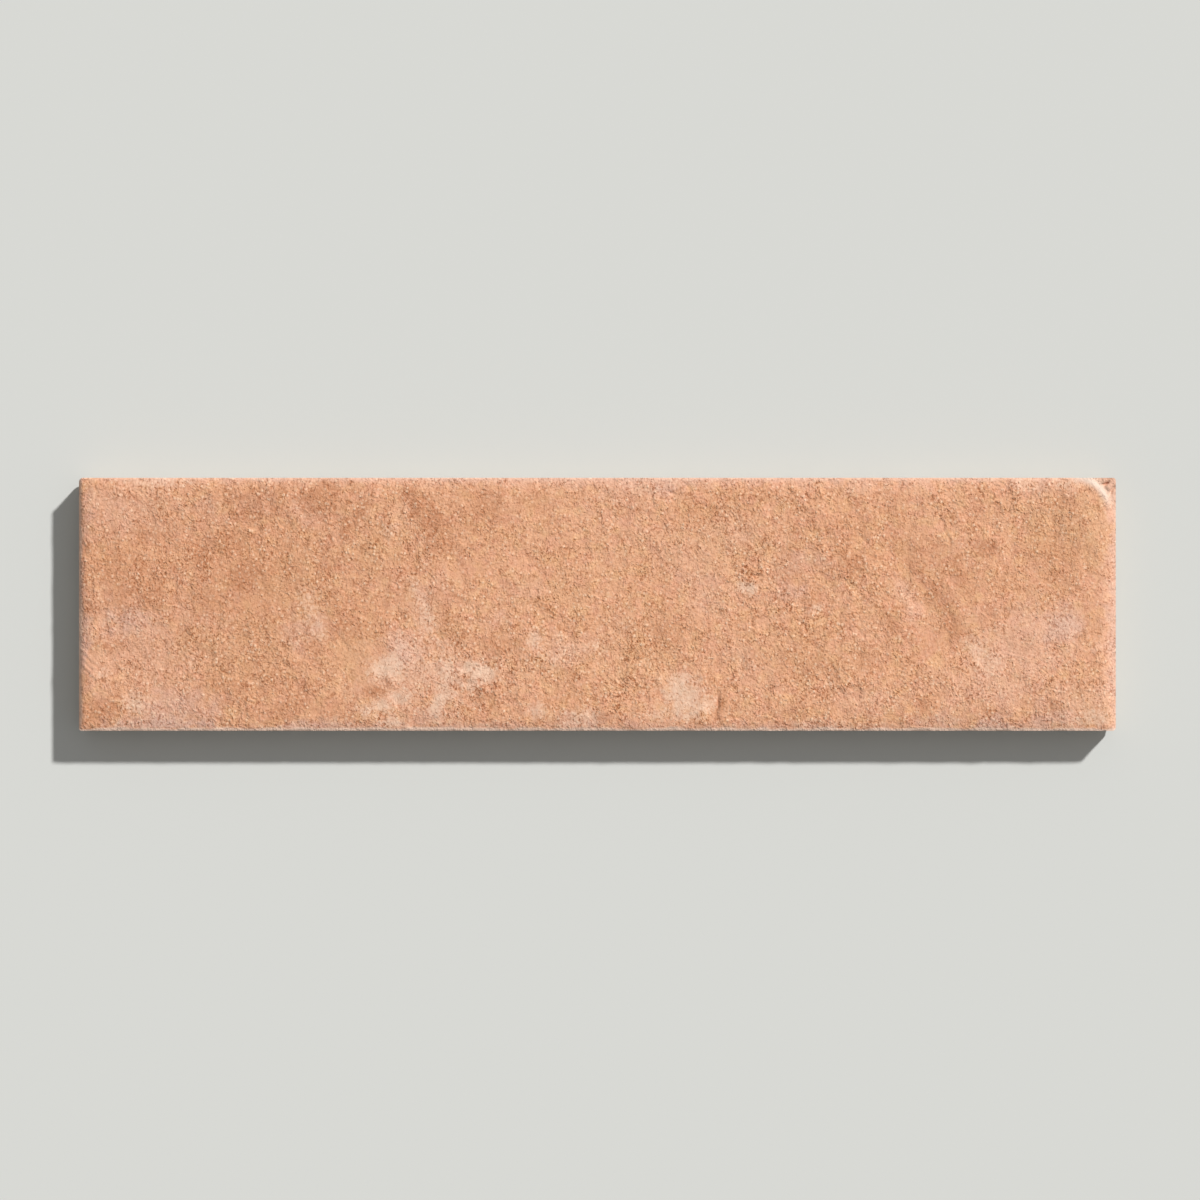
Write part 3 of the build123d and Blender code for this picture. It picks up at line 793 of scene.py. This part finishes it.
# Shared effect: sand in the clay, as grains that fall off from their middles, pits where grains
# fell out, and odd specks. Its relief has the same sand on flakes, which lie over each other as low
# terraces. Grit is finer than a grain by its scale, and flakes are coarser by theirs.
grit_scale = 1.6
grain_rise_to_rim = -0.32
fallen_grain_depth = 0.5
flake_scale = 0.36
flake_levels = 7.0
sandy, source, sink = new_group(
    "sandy_grain",
    {
        "Vector": ("Vector", None),
        "Flake Vector": ("Vector", None),
        "Grain Size": ("Float", 0.8),
        "Flake Step": ("Float", 0.0),
    },
    ["Height", "Relief", "Pits", "Light Specks", "Dark Specks"],
)
per_mm = maths(sandy, "DIVIDE", 1.0, source["Grain Size"])
grit = noise(sandy, source["Vector"], times(sandy, per_mm, grit_scale), 1.5, 0.6)
grains = put(sandy, "TexVoronoi", {"Vector": source["Vector"], "Scale": per_mm}, feature="F1").outputs
hollows = noise(sandy, source["Vector"], per_mm, 2.0, 0.6)
pits = ramp(sandy, hollows["Fac"], 0.58, 0.70)
rounded = times(sandy, ramp(sandy, grains["Distance"], 0.05, 0.95), grain_rise_to_rim)
mixed = plus(sandy, rounded, grit["Fac"])
height = maths(sandy, "SUBTRACT", mixed, times(sandy, pits, fallen_grain_depth))
layers = noise(sandy, source["Flake Vector"], times(sandy, per_mm, flake_scale), 2.0, 0.5)
levels = times(sandy, layers["Fac"], flake_levels)
riser = ramp(sandy, maths(sandy, "FRACT", levels), 0.75, 1.0)
terrace = plus(sandy, maths(sandy, "FLOOR", levels), riser)
relief_height = plus(sandy, height, times(sandy, terrace, source["Flake Step"]))
cell = put(sandy, "SeparateColor", {"Color": grains["Color"]}).outputs
core = ramp(sandy, grains["Distance"], 0.6, 0.15)
results = {
    "Height": height,
    "Relief": relief_height,
    "Pits": pits,
    "Light Specks": times(sandy, ramp(sandy, cell["Red"], 0.62, 0.90), core),
    "Dark Specks": times(sandy, ramp(sandy, cell["Green"], 0.62, 0.90), core),
}
for name, value in results.items():
    sandy.links.new(value, sink[name])

# Shared effect: slow drift of the fired colour, broad and in patches of a quarter of that size
patches_per_drift = 4.0
drift, source, sink = new_group(
    "firing_drift",
    {"Vector": ("Vector", None), "Patch Size": ("Float", 12.0)},
    ["Broad", "Patchy"],
)
per_mm = maths(drift, "DIVIDE", 1.0, source["Patch Size"])
broad = noise(drift, source["Vector"], per_mm, 3.0, 0.55)
patchy = noise(drift, source["Vector"], times(drift, per_mm, patches_per_drift), 4.0, 0.6, 0.6)
drift.links.new(ramp(drift, broad["Fac"], 0.32, 0.68), sink["Broad"])
drift.links.new(ramp(drift, patchy["Fac"], 0.34, 0.66), sink["Patchy"])


def value_of(tree, name):
    """The mesh attribute of that name, as a value."""
    return put(tree, "Attribute", attribute_name=name).outputs["Fac"]


def new_material(name):
    """Starts a material, and gives it with its nodes, the inputs of its shader and the object's
    own place in millimetres."""
    material = bpy.data.materials.new(name)
    material.use_nodes = True
    tree = material.node_tree
    place = put(tree, "TexCoord").outputs["Object"]
    in_mm = put(tree, "VectorMath", {0: place, "Scale": 1 / mm}, operation="SCALE").outputs["Vector"]
    return material, tree, tree.nodes["Principled BSDF"].inputs, in_mm


def stretched(tree, place, turn, stretch):
    """A place whose textures come out stretched along a direction turned from +X by degrees."""
    made = put(tree, "Mapping", {"Vector": place}, vector_type="TEXTURE")
    made.inputs["Rotation"].default_value = (0, 0, math.radians(turn))
    made.inputs["Scale"].default_value = (stretch, 1, 1)
    return made.outputs["Vector"]


# Finish of the face: clay whose sand runs with the grain, on flakes that lean over it
streak_stretch = 1.12
flake_turn = 72
flake_stretch = 1.9
fired, tree, shader, in_mm = new_material("fired_clay_face")
sand_inputs = {
    "Vector": stretched(tree, in_mm, grain_turn, streak_stretch),
    "Flake Vector": stretched(tree, in_mm, flake_turn, flake_stretch),
    "Grain Size": 0.72,
    "Flake Step": 0.22,
}
sand = put(tree, "Group", sand_inputs, node_tree=sandy).outputs
tone = put(tree, "Group", {"Vector": in_mm, "Patch Size": 13.0}, node_tree=drift).outputs

# Its clay drifts in tone, and is strawy and rosy in patches of three millimetres
patches_per_mm = 0.33
patch_share = 0.4
clay = blend(tree, tone["Broad"], shade(231, 172, 133), shade(237, 180, 143))
clay = blend(tree, times(tree, tone["Patchy"], 0.30), clay, shade(220, 156, 114))
hues = noise(tree, in_mm, patches_per_mm, 1.5, 0.5)["Color"]
hues = put(tree, "SeparateColor", {"Color": hues}).outputs
patch_colours = {"Red": shade(242, 191, 140), "Green": shade(232, 166, 138)}
for channel, colour in patch_colours.items():
    patch = times(tree, ramp(tree, hues[channel], 0.45, 0.7), patch_share)
    clay = blend(tree, patch, clay, colour)
# Colours of the stains; the rose, flame and ember ones also carry the painted highlight and painted shade
# of the long valley
stain_colours = {
    "rose": shade(238, 187, 160),
    "flame": shade(248, 173, 122),
    "straw": shade(225, 174, 130),
    "ember_and_painted_shade": shade(206, 145, 108),
    "mauve": shade(220, 177, 158),
}
for name, colour in stain_colours.items():
    clay = blend(tree, value_of(tree, name), clay, colour)

# The lows of its sand are darker and redder, in part as painted shade in the hollows between the
# grains, warm as under light thrown back by the clay round them; the highs are lighter, and odd
# grains are either. All of it is stronger where the sand clusters. Each one: where it lies, its
# share and its colour.
least_cluster = 0.54
cluster_gain = 0.8
grain_colours = [
    (ramp(tree, sand["Height"], 0.355, 0.06), 0.46, shade(159, 83, 32)),
    (ramp(tree, sand["Height"], 0.40, 0.62), 0.15, shade(255, 218, 184)),
    (sand["Light Specks"], 0.45, shade(255, 220, 188)),
    (sand["Dark Specks"], 0.34, shade(172, 94, 44)),
]
sandy_here = value_of(tree, "sandiness")
clusters = plus(tree, times(tree, tone["Patchy"], cluster_gain), least_cluster)
clusters = times(tree, clusters, sandy_here)
for mask, share, colour in grain_colours:
    clay = blend(tree, times(tree, times(tree, mask, share), clusters), clay, colour)

# The bloom lies on the highs of the sand and thins out over its lows, and wear bares the biscuit
middle_of_sand = 0.35
bloom_crumble = 0.9
bloom_breadth = 1.45
crumble = times(tree, maths(tree, "SUBTRACT", sand["Height"], middle_of_sand), bloom_crumble)
bloom = ramp(tree, plus(tree, value_of(tree, "bloom"), crumble), 0.0, bloom_breadth)
clay = blend(tree, bloom, clay, shade(242, 205, 178))
clay = blend(tree, value_of(tree, "bare_biscuit"), clay, shade(238, 203, 181))
clay = blend(tree, value_of(tree, "fresh_wear"), clay, shade(230, 206, 188))
tree.links.new(clay, shader["Base Color"])
shader["Roughness"].default_value = 0.85
shader["Specular IOR Level"].default_value = 0.25

# Its finest relief, rougher in patches and where it is sandier, and filled a little by the bloom
sand_relief = 0.205 * mm
least_rough = 0.65
patch_roughness = 0.5
bloom_filling = 0.35
rough_patches = plus(tree, times(tree, tone["Patchy"], patch_roughness), least_rough)
rough_patches = times(tree, rough_patches, sandy_here)
unfilled = maths(tree, "SUBTRACT", 1.0, times(tree, bloom, bloom_filling))
sand_height = times(tree, sand["Relief"], times(tree, rough_patches, unfilled))
bump = put(tree, "Bump", {"Height": sand_height, "Strength": 1.0, "Distance": sand_relief})
tree.links.new(bump.outputs["Normal"], shader["Normal"])

# The sides and the back show the body itself: paler biscuit straight from the die, touched with
# the face's colour under the arrises and with white kiln wash on the ribs
die_relief = 0.06 * mm
biscuit, tree, shader, in_mm = new_material("pressed_biscuit")
sand = put(tree, "Group", {"Vector": in_mm, "Grain Size": 0.5}, node_tree=sandy).outputs
tone = put(tree, "Group", {"Vector": in_mm, "Patch Size": 9.0}, node_tree=drift).outputs
rise = put(tree, "SeparateXYZ", {"Vector": in_mm}).outputs["Z"]
uneven_rise = plus(tree, rise, times(tree, tone["Patchy"], 0.9))
wash = times(tree, ramp(tree, rise, 0.35, 0.05), ramp(tree, tone["Patchy"], -0.2, 1.1))
body = blend(tree, tone["Broad"], shade(170, 154, 136), shade(180, 166, 149))
body_colours = [
    (tone["Patchy"], 0.35, shade(164, 144, 122)),
    (sand["Pits"], 0.35, shade(134, 116, 100)),
    (sand["Light Specks"], 0.3, shade(222, 210, 194)),
    (sand["Dark Specks"], 0.35, shade(140, 112, 92)),
    (ramp(tree, uneven_rise, 7.0, 8.6), 0.8, shade(206, 150, 116)),
    (wash, 0.6, shade(232, 224, 212)),
]
for mask, share, colour in body_colours:
    body = blend(tree, times(tree, mask, share), body, colour)
tree.links.new(body, shader["Base Color"])
shader["Roughness"].default_value = 0.8
shader["Specular IOR Level"].default_value = 0.3
bump = put(tree, "Bump", {"Height": sand["Height"], "Strength": 1.0, "Distance": die_relief})
tree.links.new(bump.outputs["Normal"], shader["Normal"])

mesh.materials.append(fired)
mesh.materials.append(biscuit)
is_face = np.arange(len(sizes)) < face_quads.size // 4
mesh.polygons.foreach_set("material_index", np.where(is_face, 0, 1).astype(np.int32))

# The floor: a plain pale sheet for the tile to lie on, a hair lower than its ribs
floor_colour = (0.695, 0.70, 0.667, 1)
floor_half = 2500
floor_top = -0.02
floor_corners = np.array([(-1, -1, 0), (1, -1, 0), (1, 1, 0), (-1, 1, 0)]) * floor_half
floor_mesh = bpy.data.meshes.new("floor")
floor_mesh.from_pydata((floor_corners + (0, 0, floor_top)) * mm, [], [(0, 1, 2, 3)])
floor = bpy.data.objects.new("floor", floor_mesh)
bpy.context.scene.collection.objects.link(floor)
paint = bpy.data.materials.new("pale_floor")
paint.use_nodes = True
shader = paint.node_tree.nodes["Principled BSDF"]
shader.inputs["Base Color"].default_value = floor_colour
shader.inputs["Roughness"].default_value = 0.9
floor_mesh.materials.append(paint)

# Light: one soft sun from the far right, as high as the tile's shadow says, and a pale sky
sun_towards = Vector((0.551, 0.587, 0.593))
sun = bpy.data.objects.new("sun", bpy.data.lights.new("sun", "SUN"))
sun.data.energy = 3.72
sun.data.angle = math.radians(4)
sun.rotation_euler = sun_towards.to_track_quat("Z", "Y").to_euler()
bpy.context.scene.collection.objects.link(sun)
world = bpy.data.worlds.new("studio")
bpy.context.scene.world = world
world.use_nodes = True
sky = world.node_tree.nodes["Background"].inputs
sky["Color"].default_value = (1, 1, 1, 1)
sky["Strength"].default_value = 0.28

# The camera looks straight down with a long lens, centred a little off the tile's middle, on a
# width of view at the level of the face
view_width = 284.45
view_centre = (0.61, 1.02)
camera = bpy.data.objects.new("camera", bpy.data.cameras.new("camera"))
camera.data.lens = 200
camera.data.sensor_width = 36
camera_height = view_width * camera.data.lens / camera.data.sensor_width + thickness
camera.location = Vector((*view_centre, camera_height)) * mm
camera.data.clip_end = 20
bpy.context.scene.collection.objects.link(camera)
bpy.context.scene.camera = camera
bpy.context.scene.view_settings.view_transform = "Standard"
